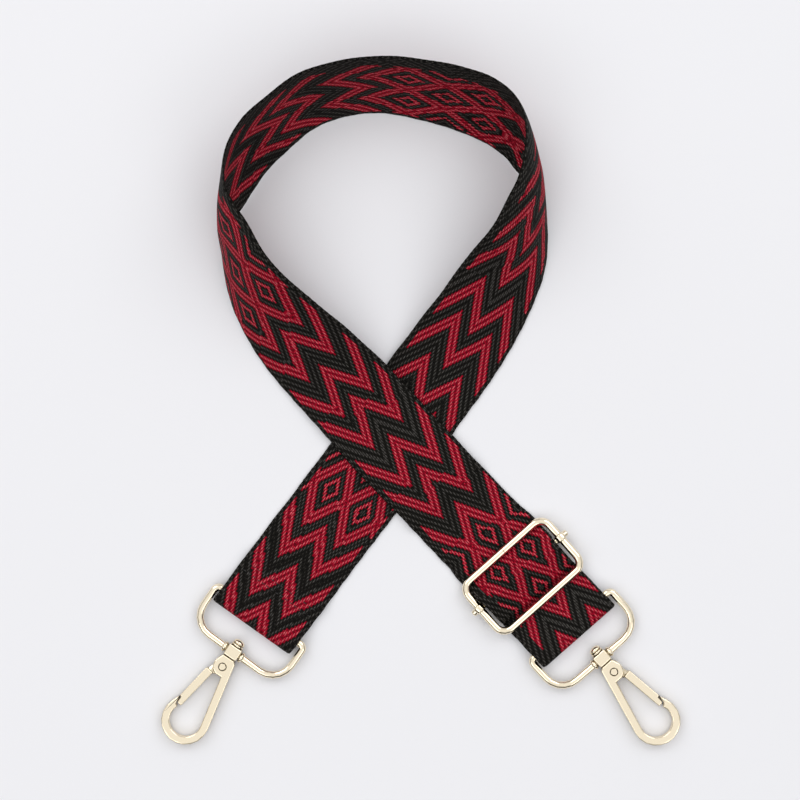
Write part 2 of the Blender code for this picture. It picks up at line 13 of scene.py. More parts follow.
import bmesh
import bpy
import numpy as np
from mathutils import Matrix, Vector


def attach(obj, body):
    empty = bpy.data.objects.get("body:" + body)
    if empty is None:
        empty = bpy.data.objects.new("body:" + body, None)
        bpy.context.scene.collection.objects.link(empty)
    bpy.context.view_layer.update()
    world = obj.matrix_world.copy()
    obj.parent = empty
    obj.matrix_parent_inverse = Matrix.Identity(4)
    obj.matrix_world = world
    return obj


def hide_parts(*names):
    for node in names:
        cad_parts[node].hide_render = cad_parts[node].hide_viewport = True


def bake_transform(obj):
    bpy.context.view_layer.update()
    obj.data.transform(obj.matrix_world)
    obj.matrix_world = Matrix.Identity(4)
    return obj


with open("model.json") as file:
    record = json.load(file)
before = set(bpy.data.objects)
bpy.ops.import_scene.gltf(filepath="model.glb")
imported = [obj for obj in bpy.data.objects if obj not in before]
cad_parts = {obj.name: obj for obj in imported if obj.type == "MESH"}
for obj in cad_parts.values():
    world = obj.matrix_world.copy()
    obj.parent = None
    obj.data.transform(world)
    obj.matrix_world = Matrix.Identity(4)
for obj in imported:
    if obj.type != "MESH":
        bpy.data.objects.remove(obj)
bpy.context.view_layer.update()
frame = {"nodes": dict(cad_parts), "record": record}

scene = bpy.context.scene

# %% [markdown]
# ## Camera
#
# The photograph is taken from straight above. Such a view could be made with an orthographic
# camera, but a real lens makes the raised edge of the loop look a little larger, so a perspective
# camera stands 1.1 m above the table, with a lens that frames 0.43 m of it.

# %% Camera
camera_place = Vector((-0.01106, 0.00357, 1.1))
view_width, sensor_width, view_depth = 0.42873, 36.0, 20.0

camera_data = bpy.data.cameras.new("camera")
camera_data.sensor_width = sensor_width
camera_data.lens = sensor_width * camera_place.z / view_width
camera_data.clip_end = view_depth
camera = bpy.data.objects.new("camera", camera_data)
camera.location = camera_place
scene.collection.objects.link(camera)
scene.camera = camera
print("Lens", round(camera_data.lens, 1), "mm")

# %% [markdown]
# ## Materials by nodes
#
# Every finish here is made with shader nodes. Wiring them one by one is slow to read in a script,
# so small helpers stand in for it: one makes a material, and the others each add one node, whose
# inputs may be plain values or the outputs of other nodes.


# %% Node helpers
def new_material(name):
    material = bpy.data.materials.new(name)
    material.use_nodes = True
    return material, material.node_tree, material.node_tree.nodes["Principled BSDF"]


def plug(tree, value, socket):
    """Give a socket a number or colour, or link it to another node's output."""
    if isinstance(value, bpy.types.NodeSocket):
        tree.links.new(value, socket)
    else:
        socket.default_value = value


def maths(tree, operation, first, second=0.0):
    node = tree.nodes.new("ShaderNodeMath")
    node.operation = operation
    plug(tree, first, node.inputs[0])
    plug(tree, second, node.inputs[1])
    return node.outputs[0]


def product(tree, first, *others):
    for other in others:
        first = maths(tree, 'MULTIPLY', first, other)
    return first


def vector_maths(tree, operation, first, second):
    node = tree.nodes.new("ShaderNodeVectorMath")
    node.operation = operation
    plug(tree, first, node.inputs[0])
    plug(tree, second, node.inputs[1])
    return node.outputs["Value" if operation in ('DOT_PRODUCT', 'DISTANCE') else "Vector"]


def stretch(tree, value, low, high, way='LINEAR'):
    """Stretch the part of a value between low and high over 0 to 1."""
    node = tree.nodes.new("ShaderNodeMapRange")
    node.interpolation_type = way
    node.inputs["From Min"].default_value = low
    node.inputs["From Max"].default_value = high
    tree.links.new(value, node.inputs["Value"])
    return node.outputs["Result"]


def mix_colour(tree, factor, first, second, blend='MIX'):
    node = tree.nodes.new("ShaderNodeMix")
    node.data_type = 'RGBA'
    node.blend_type = blend
    plug(tree, factor, node.inputs[0])
    plug(tree, first, node.inputs[6])
    plug(tree, second, node.inputs[7])
    return node.outputs[2]


# %% [markdown]
# ## Floor
#
# The table is a plain pale sheet. It could be a backdrop that curves up behind the object, but the
# camera looks straight down and never sees where it ends, so one large plane will do.

# %% Floor
floor_colour, floor_roughness = (0.84, 0.84, 0.868, 1.0), 0.9
floor_size, floor_drop = 6.0, 0.0002

bpy.ops.mesh.primitive_plane_add(size=floor_size, location=(0, 0, -floor_drop))
floor = bpy.context.object
floor.name = "floor"
material, tree, shader = new_material("floor_paper")
shader.inputs["Base Color"].default_value = floor_colour
shader.inputs["Roughness"].default_value = floor_roughness
floor.data.materials.append(material)
print("Floor", floor_size, "m wide")

# %% [markdown]
# ## Lamps
#
# The photograph has the soft light of a tent. One bright world could give that, but then the
# standing loop would throw hardly any shadow. So one large lamp hangs overhead and four smaller
# ones stand round the table, 42 degrees up, stronger behind the loop than in front of it.

# %% Lamps
overhead_place, overhead_size, overhead_power = (-0.12, 0.16, 1.9), 3.0, 5.4
side_distance, side_elevation, side_size = 2.0, math.radians(42), 1.3
side_powers = {135: 7.4, 45: 6.8, 225: 4.4, 315: 4.1}


def area_lamp(name, place, size, power):
    lamp_data = bpy.data.lights.new(name, 'AREA')
    lamp_data.shape = 'DISK'
    lamp_data.size = size
    lamp_data.energy = power
    lamp = bpy.data.objects.new(name, lamp_data)
    lamp.location = place
    lamp.rotation_euler = (-Vector(place)).to_track_quat('-Z', 'Y').to_euler()
    scene.collection.objects.link(lamp)


area_lamp("lamp_overhead", overhead_place, overhead_size, overhead_power)
side_reach = side_distance * math.cos(side_elevation)
side_height = side_distance * math.sin(side_elevation)
for number, (turn, power) in enumerate(side_powers.items()):
    turn = math.radians(turn)
    place = (side_reach * math.cos(turn), side_reach * math.sin(turn), side_height)
    area_lamp("lamp_%d" % number, place, side_size, power)
print("Lit by", 1 + len(side_powers), "lamps")

# %% [markdown]
# ## World
#
# Polished metal shows what is around it. A plain white world would leave the gold wire flat, so
# the world is dark near the horizon, as the room round a light tent is, and a little higher on the
# near side. That puts thin dark lines along the wire, while the floor still gets the light from
# above.

# %% World
world_strength, horizon_colour, tent_colour = 0.69, (0.02, 0.018, 0.015, 1), (1.0, 1.0, 1.0, 1)
dark_up_to, light_from, near_side_lean = 0.24, 0.37, 0.35

world = bpy.data.worlds.new("studio")
world.use_nodes = True
scene.world = world
sky = world.node_tree
coordinates = sky.nodes.new("ShaderNodeTexCoord")
split = sky.nodes.new("ShaderNodeSeparateXYZ")
sky.links.new(coordinates.outputs["Generated"], split.inputs[0])
leaning = maths(sky, 'ADD', split.outputs["Z"], product(sky, split.outputs["Y"], near_side_lean))
ramp = sky.nodes.new("ShaderNodeValToRGB")
sky.links.new(leaning, ramp.inputs[0])
stops = ((dark_up_to, horizon_colour), (light_from, tent_colour))
for stop, (place, colour) in zip(ramp.color_ramp.elements, stops):
    stop.position = place
    stop.color = colour
background = sky.nodes["Background"]
sky.links.new(ramp.outputs[0], background.inputs["Color"])
background.inputs["Strength"].default_value = world_strength
scene.view_settings.view_transform = 'Standard'
print("World strength", world_strength)

# %% [markdown]
# ## The route of the webbing
#
# The webbing is one flat band, folded round the ring's bar on leg A, laid in a standing loop, then
# woven through the slider on leg B and folded back on itself. It could be drawn as a curve with a
# taper, but a curve twists by rules of its own. Instead the route is a list of stations, as in a
# ship's hull: each gives the middle of the band and the direction across it. Every size below is
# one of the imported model's.

# %% Sizes of the route
webbing_width = 0.050
webbing_thickness = 0.0015
half_width = webbing_width / 2
clearance = 0.0003
arc_step, nearly_round = math.radians(9), math.radians(350)
crossing = Vector((-0.0153, -0.0179, 0.0))
loop_span = 0.1758
leg_a_length, leg_a_angle, clasp_a_angle = 0.1252, 233.0, 234.5
leg_b_length, leg_b_angle, clasp_b_angle = 0.1453, -46.3, -48.65
fold_slack, fold_flap, fold_bend, flap_seam, plain_run = 0.0042, 0.030, 0.006, 0.012, 0.020
ring_wire, frame_wire, frame_height, frame_gap = 0.0020, 0.0021, 0.0338, 0.0006
slider_from_fold, bar_offset, bar_radius = 0.0448, 0.0022, 0.00175
tail_reach, run_start, run_step_down, loop_reach = 0.012, 0.108, 0.0105, 0.022

# The standing loop: middle of the webbing (x and y in shares of loop_span from the crossing), the
# bearing from its lower to its raised edge, how far that edge is lifted, how far the band bulges
# (a share of its width), and how many layers it lies on.
loop_shares = (
    (0.000, 0.000, 144.5, 0, 0.00, 0), (0.107, 0.158, 145.0, 1, 0.00, 0),
    (0.164, 0.234, 144.5, 6, 0.00, 0), (0.243, 0.344, 143.2, 16, 0.01, 0),
    (0.332, 0.490, 146.0, 32, 0.03, 0), (0.377, 0.572, 152.0, 45, 0.05, 0),
    (0.406, 0.680, 154.0, 59, 0.08, 0), (0.416, 0.742, 147.0, 67, 0.10, 0),
    (0.411, 0.803, 124.0, 72, 0.12, 0), (0.400, 0.843, 98.0, 69, 0.12, 0),
    (0.383, 0.890, 87.0, 61, 0.11, 0), (0.356, 0.936, 87.0, 56, 0.10, 0),
    (0.300, 0.981, 89.0, 54, 0.08, 0), (0.201, 1.021, 86.0, 57, 0.06, 0),
    (0.092, 1.047, 87.0, 60, 0.04, 0), (-0.038, 1.062, 89.0, 63, 0.04, 0),
    (-0.155, 1.048, 93.0, 63, 0.04, 0), (-0.251, 1.016, 103.0, 62, 0.05, 0),
    (-0.346, 0.944, 113.0, 62, 0.06, 0), (-0.412, 0.880, 117.0, 62, 0.07, 0),
    (-0.455, 0.810, 116.0, 64, 0.08, 0), (-0.478, 0.748, 104.0, 68, 0.09, 0),
    (-0.491, 0.702, 84.0, 72, 0.09, 0), (-0.490, 0.656, 58.0, 69, 0.09, 0),
    (-0.471, 0.601, 46.0, 64, 0.08, 0), (-0.428, 0.479, 46.0, 52, 0.05, 0),
    (-0.364, 0.384, 49.0, 40, 0.03, 0), (-0.289, 0.302, 46.5, 29, 0.01, 0),
    (-0.200, 0.213, 46.3, 18, 0.00, 0.5), (-0.113, 0.125, 46.0, 8, 0.00, 1),
    (0.000, 0.000, 43.8, 0, 0.00, 1),
)

# Places that follow from the sizes
ring_bar_height = webbing_thickness + clearance + ring_wire
ring_wrap = ring_wire + clearance + webbing_thickness / 2
bar_wrap = bar_radius + clearance + webbing_thickness / 2
frame_wrap = frame_wire + frame_gap + webbing_thickness / 2
fold_centre = -(ring_wrap + webbing_thickness / 2)
ring_bar_place = fold_centre - fold_slack
seam = ring_bar_place - flap_seam
frame_top_height = webbing_thickness + frame_gap + frame_wire
frame_low_height = frame_top_height + webbing_thickness + clearance
frame_tilt = math.asin((frame_low_height - frame_top_height) / frame_height)
frame_mid_height = (frame_top_height + frame_low_height) / 2
bar_place = -slider_from_fold - bar_offset * math.cos(frame_tilt)
bar_height = frame_mid_height - bar_offset * math.sin(frame_tilt)
frame_half_run = frame_height / 2 * math.cos(frame_tilt)
print("Slider bar", round(-bar_place * 1000, 1), "mm from the fold")

# %% [markdown]
# ## From sizes to stations
#
# Where the band goes round bars it runs like a belt over rollers, so one rule turns a list of
# rollers into a path. The standing loop has no bars: there a smooth curve is drawn through the
# stations listed above, as a curve object would do it, but with the band's turn and bulge in it.

# %% Rules that turn sizes into stations
def layer(count):
    """Height of the middle of a layer of webbing that lies on this many others."""
    return webbing_thickness / 2 + count * (webbing_thickness + clearance)


def bearing(angle):
    return Vector((math.cos(math.radians(angle)), math.sin(math.radians(angle)), 0.0))


def belt(rollers):
    """A path that wraps round rollers (x, y, radius, turn) like a belt; a corner has radius 0."""
    headings = []
    for (x0, y0, r0, t0), (x1, y1, r1, t1) in zip(rollers, rollers[1:]):
        skew = (t1 * r1 - t0 * r0) / math.hypot(x1 - x0, y1 - y0)
        headings.append(math.atan2(y1 - y0, x1 - x0) - math.asin(max(-1.0, min(1.0, skew))))
    points = []
    for i, (x, y, radius, turn) in enumerate(rollers):
        if radius == 0:
            points.append((x, y))
            continue
        first, last = headings[max(i - 1, 0)], headings[min(i, len(headings) - 1)]
        sweep = (last - first) * turn % math.tau
        if sweep > nearly_round:  # the belt passes this roller straight
            sweep = 0.0
        steps = max(1, math.ceil(sweep / arc_step))
        for k in range(steps + 1):
            heading = first + turn * sweep * k / steps
            points.append((x + turn * radius * math.sin(heading), y - turn * radius * math.cos(heading)))
    return points


def leg_place(length, angle, reach, height):
    """A point on a leg: reach is measured outwards from the end of its fold."""
    return crossing + bearing(angle) * (length + reach) + Vector((0, 0, height))


def smooth(knots, rows, at):
    """Value at one place of a curve that runs smoothly through rows of numbers."""
    i = 0
    while i < len(knots) - 2 and at > knots[i + 1]:
        i += 1

    def slope(k, column):
        low, high = max(k - 1, 0), min(k + 1, len(knots) - 1)
        if low == k or high == k:
            return (rows[high][column] - rows[low][column]) / (knots[high] - knots[low])
        gap_before, gap_after = knots[k] - knots[low], knots[high] - knots[k]
        before = (rows[k][column] - rows[low][column]) / gap_before
        after = (rows[high][column] - rows[k][column]) / gap_after
        return (before * gap_after + after * gap_before) / (gap_before + gap_after)

    span = knots[i + 1] - knots[i]
    t = (at - knots[i]) / span
    values = []
    for column in range(len(rows[0])):
        value = rows[i][column] * (2 * t ** 3 - 3 * t ** 2 + 1)
        value += slope(i, column) * span * (t ** 3 - 2 * t ** 2 + t)
        value += rows[i + 1][column] * (3 * t ** 2 - 2 * t ** 3)
        value += slope(i + 1, column) * span * (t ** 3 - t ** 2)
        values.append(value)
    return values

# %% [markdown]
# ## The route, stretch by stretch
#
# Each stretch gives its own stations: the fold round ring A's bar, the loop, and leg B with its way
# through the slider, round ring B's bar and back. They could be three bands, but then the weave
# would start anew at each joint, so they are laid end to end as one route.

# %% Stations of the whole band
def fold_a_stations():
    path = belt([
        (-fold_flap, layer(0), 0, 1),
        (fold_centre, ring_bar_height, ring_wrap, 1),
        (ring_bar_place, ring_bar_height, ring_wrap, 1),
        (seam, layer(1) + fold_bend, fold_bend, -1),
        (-fold_flap - clearance, layer(1) - fold_bend, fold_bend, 1),
        (-fold_flap - plain_run / 2, layer(0) + fold_bend, fold_bend, -1),
        (-fold_flap - plain_run, layer(0), 0, 1),
    ])
    across = bearing(clasp_a_angle - 90)
    return [(leg_place(leg_a_length, leg_a_angle, u, z), across, 0.0) for u, z in path]


def loop_stations(step=0.0025):
    seam_end = fold_flap + plain_run
    start = leg_place(leg_a_length, leg_a_angle, -seam_end, 0)
    middle = leg_place(leg_a_length, leg_a_angle, -(seam_end + leg_a_length) / 2, 0)
    finish = leg_place(leg_b_length, leg_b_angle, -(run_start + clearance), 0)
    rows = [(start.x, start.y, clasp_a_angle - 90, 0, 0, 0),
            (middle.x, middle.y, leg_a_angle - 90, 0, 0, 0)]
    for x_share, y_share, *rest in loop_shares:
        rows.append((crossing.x + x_share * loop_span, crossing.y + y_share * loop_span, *rest))
    rows.append((finish.x, finish.y, clasp_b_angle + 90, 0, 0, 1))
    knots = [0.0]
    for before, after in zip(rows, rows[1:]):
        knots.append(knots[-1] + math.dist(before[:2], after[:2]))
    count = round(knots[-1] / step)
    stations = []
    for k in range(1, count + 1):
        x, y, across_bearing, lift, bow_share, layers = smooth(knots, rows, knots[-1] * k / count)
        lift = math.radians(max(lift, 0.0))
        across = bearing(across_bearing) * math.cos(lift) + Vector((0, 0, math.sin(lift)))
        height = layer(layers) + half_width * math.sin(lift)
        stations.append((Vector((x, y, height)), across, bow_share * webbing_width))
    return stations


def leg_b_stations():
    """Under, over and under the slider's bars, round the ring bar, and back to the slider's bar."""
    path = belt([
        (-run_start, layer(1), 0, 1),
        (-run_start + fold_bend / 2, layer(1) - fold_bend, fold_bend, -1),
        (-run_start + run_step_down, layer(0) + fold_bend, fold_bend, 1),
        (-slider_from_fold - frame_half_run, frame_top_height, frame_wrap, 1),
        (bar_place, bar_height, bar_wrap + webbing_thickness + clearance, -1),
        (-slider_from_fold + frame_half_run, frame_low_height, frame_wrap, 1),
        (-loop_reach, layer(1), 0, 1),
        (seam, layer(1) + fold_bend, fold_bend, 1),
        (ring_bar_place, ring_bar_height, ring_wrap, -1),
        (fold_centre, ring_bar_height, ring_wrap, -1),
        (-loop_reach, layer(0), 0, 1),
        (-slider_from_fold + frame_half_run - 2 * frame_wire, layer(0) + fold_bend, fold_bend, -1),
        (bar_place, bar_height, bar_wrap, -1),
        (bar_place + tail_reach, 2 * webbing_thickness, 0, 1),
    ])
    across = bearing(clasp_b_angle + 90)
    return [(leg_place(leg_b_length, leg_b_angle, u, z), across, 0.0) for u, z in path], path


leg_b, leg_b_path = leg_b_stations()
stations = fold_a_stations() + loop_stations() + leg_b
rough_middle = np.array([s[0] for s in stations])
rough_across = np.array([s[1] for s in stations])
rough_bow = np.array([s[2] for s in stations])
rough_run = np.concatenate([[0.0], np.cumsum(np.linalg.norm(np.diff(rough_middle, axis=0), axis=1))])
print("The webbing is", round(rough_run[-1] * 1000), "mm long")

# %% [markdown]
# ## Where the joints cut the band
#
# The slider moves along the leg and its bar moves in the slider, so the band will be cut at the
# slider's bars and where it lies slack before ring B. The places could be typed in, but they would
# be wrong as soon as a size changes. Instead leg B's path is walked until it passes a reach for the
# first or the second time.

# %% Cuts along the run
top_bar_reach = -slider_from_fold - frame_half_run
low_bar_reach = -slider_from_fold + frame_half_run
slack_reach = -0.012


def run_at(reach, passing):
    """How far along the band leg B's path passes this reach for the first, second... time."""
    walked = rough_run[len(stations) - len(leg_b):]
    count = 0
    for k in range(len(leg_b_path) - 1):
        before, after = leg_b_path[k][0], leg_b_path[k + 1][0]
        if (before < reach) != (after < reach):
            count += 1
            if count == passing:
                return walked[k] + (walked[k + 1] - walked[k]) * (reach - before) / (after - before)
    return walked[0]


cuts = [run_at(-run_start, 1), run_at(top_bar_reach, 1), run_at(bar_place, 1),
        run_at(low_bar_reach, 1), run_at(slack_reach, 1), run_at(slack_reach, 2),
        run_at(low_bar_reach, 2), rough_run[-1]]
print("Cuts at", [round(cut * 1000, 1) for cut in cuts])

# %% [markdown]
# ## Spacing the weave
#
# A woven band has a fixed number of threads across it and a fixed number of rows in each
# centimetre, so the stations are spaced again, one row of weave apart. The band then becomes a grid
# in which each face is one square of the weaver's point paper.

# %% Rows one weave apart
column_count = 52
column_pitch = webbing_width / column_count
row_pitch = 0.00188
row_count = round(rough_run[-1] / row_pitch)
run = np.linspace(0.0, rough_run[-1], row_count + 1)


def at_rows(rough):
    """Points or directions known at the stations, worked out for each row of the weave."""
    return np.stack([np.interp(run, rough_run, rough[:, k]) for k in range(3)], axis=1)


def unit(directions):
    return directions / np.linalg.norm(directions, axis=1)[:, None]


middle_line = at_rows(rough_middle)
across_line = unit(at_rows(rough_across))
bow_line = np.interp(run, rough_run, rough_bow)
print(row_count, "rows of", column_count, "squares")

# %% [markdown]
# ## A crease and soft edges
#
# Just before the slider's lower bar the webbing is pressed down into a dip, with a dark line of
# painted shade across it, and inside the slider it is squeezed a little wider. Its edges aren't
# ruler straight either: they wander slowly, and each pick of the weft pushes them out or in. A
# displacement texture could do this, but moving the rows themselves also puts it into the mesh.

# %% Crease and edges
crease_before_bar, crease_depth, crease_dip = 0.0047, 0.0018, np.array([0.25, 1.0, 0.25])
spread_at_slider, spread_lead = 0.0011, 0.012
edge_wander, slow_wander, quick_wander, edge_pick = 0.00013, 0.011, 0.0043, 0.00006
edge_shifts = (1.0, 2.3)

crease_row = round((cuts[3] - crease_before_bar) / row_pitch)
middle_line[crease_row - 1:crease_row + 2, 2] -= crease_depth * crease_dip
face_line = unit(np.cross(np.gradient(middle_line, axis=0), across_line))

spread_places = [cuts[1] - spread_lead, cuts[1] - spread_lead / 4, cuts[2] - spread_lead / 2, cuts[2]]
spread = np.interp(run, spread_places, [0, 1, 1, 0]) * spread_at_slider
pick = np.where(np.arange(row_count + 1) % 2 == 0, edge_pick, -edge_pick)
edge_lines = []
for shift in edge_shifts:
    wander = np.sin(run / slow_wander + shift) + np.sin(run / quick_wander * shift)
    edge_lines.append(spread + edge_wander * wander + pick)
widest = max(edge_line.max() for edge_line in edge_lines)
print("Crease in row", crease_row, "and edges up to", round(widest * 1000, 1), "mm out")

# %% [markdown]
# ## The draft of the pattern
#
# A jacquard loom draws with squares: each square of the draft is red or black. The figure could be
# painted by a texture, but the real one is made square by square, and so is this one. It has two
# families of zigzag strokes. Forward strokes point towards the slider at the quarter lines of the
# band, backward strokes point away from it. Where both families cross they make diamonds, and each
# holds a small hollow diamond, on the band's middle line (and half ones at its edges) or on its
# quarter lines. Beyond the outer turning lines the strokes run straight on until the black selvedge
# ends them. The lists give where each stroke crosses the middle line and where each small diamond
# has its centre, in millimetres from the end of leg A's flap.

# %% The draft's sizes and places
zigzag_width, stroke_rows, float_rows = 21.0, 6, 3
small_diamond_rows, small_hole_rows = 4.5, 2.0
figure_half, selvedge = 22.6, 23.9
row_mm = row_pitch * 1000
stroke_climb, far_away = 1.95, 1000.0

forward_strokes = (117, 158, 181.8, 209.8, 232.8, 262.8, 284.0, 308, 331, 366.5, 407.5, 428.0,
                   456.4, 477.2, 504, 545.5, 586.5, 608.8, 637.5, 660.2, 689.7, 712.2, 741.5, 782)
backward_strokes = (-3, 21, 45.5, 68.8, 96, 117, 158, 366.5, 407.5, 545.5, 586.5, 781.5, 824, 853,
                    877, 902, 926)
middle_diamonds = (137.5, 387, 566, 761, 803)
quarter_diamonds = (117, 158, 366.5, 407.5, 545.5, 586.5, 781.8)

# Place along the band, then where the figure's middle line lies there, how wide the figure is and
# how steep its strokes are: they wander a little, as the tension of the threads changes in weaving.
drift = ((0, 0.6, 1.0, 0.92), (95, 0.3, 1.0, 0.92), (120, -0.2, 1.0, 1.0), (250, -0.4, 1.0, 1.0),
         (290, -1.0, 0.9, 1.0), (330, -4.0, 0.85, 1.0), (368, -5.0, 0.83, 1.0), (387, -3.6, 0.86, 1.0),
         (407, -3.3, 0.87, 1.0), (452, -2.6, 0.9, 1.0), (500, -1.6, 0.9, 1.0), (545, -2.6, 1.0, 1.0),
         (586, -2.0, 1.06, 1.0), (611, -1.0, 1.03, 1.0), (640, -0.4, 1.0, 1.0), (690, 0.4, 1.0, 1.0),
         (735, 1.2, 1.0, 1.0), (761, 2.0, 1.0, 1.0), (803, 3.4, 1.0, 1.0), (1000, 3.3, 1.0, 1.0))
print(len(forward_strokes) + len(backward_strokes), "strokes and",
      len(middle_diamonds) + len(quarter_diamonds), "rows of small diamonds")


# %% Drawing the draft
def draft(row, across):
    """For squares at these rows and places across (mm): red or not, place in its float, and way."""
    row, across = np.broadcast_arrays(np.asarray(row, float), np.asarray(across, float))
    places, middles, widths, climbs = zip(*drift)
    along = row * row_mm
    x = (across - np.interp(along, places, middles)) / np.interp(along, places, widths)
    climb = stroke_climb / row_mm * np.interp(along, places, climbs)
    from_middle = np.abs((x + zigzag_width / 2) % zigzag_width - zigzag_width / 2)
    from_middle = np.where(np.abs(x) > zigzag_width, zigzag_width - np.abs(x), from_middle)
    rise = np.round(climb * from_middle)
    quarter_rise = np.round(climb * (zigzag_width / 2 - from_middle))

    near = np.full(row.shape, far_away)
    for sign, strokes in ((-1, forward_strokes), (1, backward_strokes)):
        for place in strokes:
            offset = row + sign * rise - round(place / row_mm)
            near = np.where(np.abs(offset) < np.abs(near), offset, near)
    red = (np.abs(near) < stroke_rows / 2).astype(float)

    way = np.ones(row.shape)
    for diamonds, rise_here in ((middle_diamonds, rise), (quarter_diamonds, quarter_rise)):
        for place in diamonds:
            offset = row - round(place / row_mm - 0.5) - 0.5
            distance = np.abs(offset) + rise_here
            inside = distance < small_diamond_rows
            red = np.where(inside, distance > small_hole_rows, red)
            near = np.where(inside, distance - small_hole_rows, near)
            way = np.where(inside, np.sign(offset), way)

    edge = np.abs(across) > selvedge
    red = np.where(edge | (np.abs(x) > figure_half), 0.0, red)
    near = np.where(edge, row * 2 + (across > 0), near)
    return red, near / float_rows, way / float_rows


# %% [markdown]
# ## The band's section
#
# Cut across, the webbing is a flat bar with rounded selvedges. A box with a Bevel modifier would
# have that shape, but its faces wouldn't match the weave, so the section is a closed line of points
# with one step for each column on the top and on the underside.

# %% Section and rows of points
edge_height, next_height, rim_reach = 0.22, 0.44, 0.1


def section():
    """Places across and heights of the points round the band's section."""
    across = np.linspace(-half_width, half_width, column_count + 1)
    height = np.full(column_count + 1, webbing_thickness / 2)
    height[[0, -1]] = webbing_thickness * edge_height
    height[[1, -2]] = webbing_thickness * next_height
    rim = half_width + webbing_thickness * rim_reach
    across = np.concatenate([across, [rim], across[::-1], [-rim]])
    return across, np.concatenate([height, [0], -height[::-1], [0]])


def band_points(first, last, section_across, section_height):
    """The section's points in each row from first to last, bulged and with its wandering edges."""
    outwards = np.abs(section_across) / half_width
    bulge = 1 - np.clip(outwards, 0, 1) ** 2
    rows = slice(first, last + 1)
    lift = bow_line[rows, None] * bulge + section_height
    right, left = edge_lines[0][rows, None], -edge_lines[1][rows, None]
    reach = section_across + outwards ** 3 * np.where(section_across > 0, right, left)
    middle, across, face = (line[rows, None, :] for line in (middle_line, across_line, face_line))
    return middle + across * reach[:, :, None] + face * lift[:, :, None]


def end_cap(start, size):
    """Faces that close the section whose points begin at this number."""
    faces = []
    for j in range(column_count):
        under = size - 2 - j
        faces.append((start + j + 1, start + j, start + under, start + under - 1))
    faces.append((start + column_count + 2, start + column_count + 1, start + column_count))
    faces.append((start, start + size - 1, start + size - 2))
    return faces


print("Section of", len(section()[0]), "points")

# %% [markdown]
# ## What each square carries
#
# Each face keeps its square's colour, and the painted shade that darkens the crease row. One UV
# map holds real metres across and along, so the yarn has the same size everywhere. The other counts
# floats: one unit across for each column, and one along for each float of three rows. These could
# be worked out in the material from the place in space, but then the weave wouldn't follow the folds.

# %% Values for the weave
# Painted shade: the crease row's colour is multiplied by crease_shade.
crease_shade = 0.4
corner_rows = np.array([-0.5, -0.5, 0.5, 0.5])


def weave_values(first, last, section_across):
    """Colour and shade of each square, and its corners in metres and in floats."""
    grid = (last - first, len(section_across))
    next_across = np.roll(section_across, -1)
    row = np.arange(first, last)[:, None]
    row_centre = row + 0.5
    red, phase, way = draft(row_centre, (section_across + next_across)[None, :] / 2 * 1000)
    shade = np.broadcast_to(np.where(row == crease_row, crease_shade, 1.0), grid)

    corners = np.stack([section_across, next_across, next_across, section_across], axis=1)
    corner_across = np.broadcast_to(corners, (*grid, 4)).reshape(-1)
    corner_along = (np.broadcast_to(row_centre, grid)[:, :, None] + corner_rows).reshape(-1) * row_pitch
    corner_float = (phase[:, :, None] + way[:, :, None] * corner_rows).reshape(-1)
    metres = np.stack([corner_across, corner_along], axis=1)
    floats = np.stack([(corner_across + half_width) / column_pitch, corner_float], axis=1)
    return red.ravel(), shade.ravel(), metres, floats


def with_caps(values, count):
    """The squares' values, followed by zeros for the end caps."""
    return np.concatenate([values, np.zeros((count, *values.shape[1:]))]).astype(np.float32)


print("Values for", row_count * 2 * column_count, "squares on the two faces")

# %% [markdown]
# ## The band
#
# One function turns any stretch of rows into a closed band. Strap webbing could be a plane with a
# Solidify modifier, but the two faces and the rounded edges each need their own squares, so the
# mesh is made from its points and faces directly.


# %% A stretch of webbing
def webbing(name, start, end):
    """The band between two places of its run, in metres."""
    first = int(round(start / row_pitch))
    last = min(int(round(end / row_pitch)), row_count)
    rows = last - first
    section_across, section_height = section()
    points = band_points(first, last, section_across, section_height)

    size = len(section_across)
    here = np.arange(size)
    after = (here + 1) % size
    base = np.arange(rows)[:, None] * size
    quads = np.stack([base + here, base + after, base + size + after, base + size + here], axis=2)
    quads = quads.reshape(-1, 4)
    caps = end_cap(0, size) + [face[::-1] for face in end_cap(rows * size, size)]
    mesh = bpy.data.meshes.new(name)
    mesh.from_pydata(points.reshape(-1, 3).tolist(), [], quads.tolist() + caps)

    red, shade, metres, floats = weave_values(first, last, section_across)
    for attribute, values in (("red", red), ("shade", shade)):
        target = mesh.attributes.new(attribute, 'FLOAT', 'FACE').data
        target.foreach_set("value", with_caps(values, len(caps)))
    cap_corners = sum(len(face) for face in caps)
    for layer_name, values in (("weave", metres), ("float", floats)):
        mesh.uv_layers.new(name=layer_name).data.foreach_set("uv", with_caps(values, cap_corners).ravel())
    flat_face = np.arange(len(quads) + len(caps)) >= len(quads)
    mesh.attributes.new("sharp_face", 'BOOLEAN', 'FACE').data.foreach_set("value", flat_face)
    mesh.update()

    shape = bmesh.new()
    shape.from_mesh(mesh)
    volume = shape.calc_volume(signed=True)
    shape.free()
    if volume < 0:
        mesh.flip_normals()
    piece = bpy.data.objects.new(name, mesh)
    scene.collection.objects.link(piece)
    print(name, rows, "rows,", len(mesh.polygons), "faces,", round(abs(volume) * 1e6, 1), "cm3")
    return piece
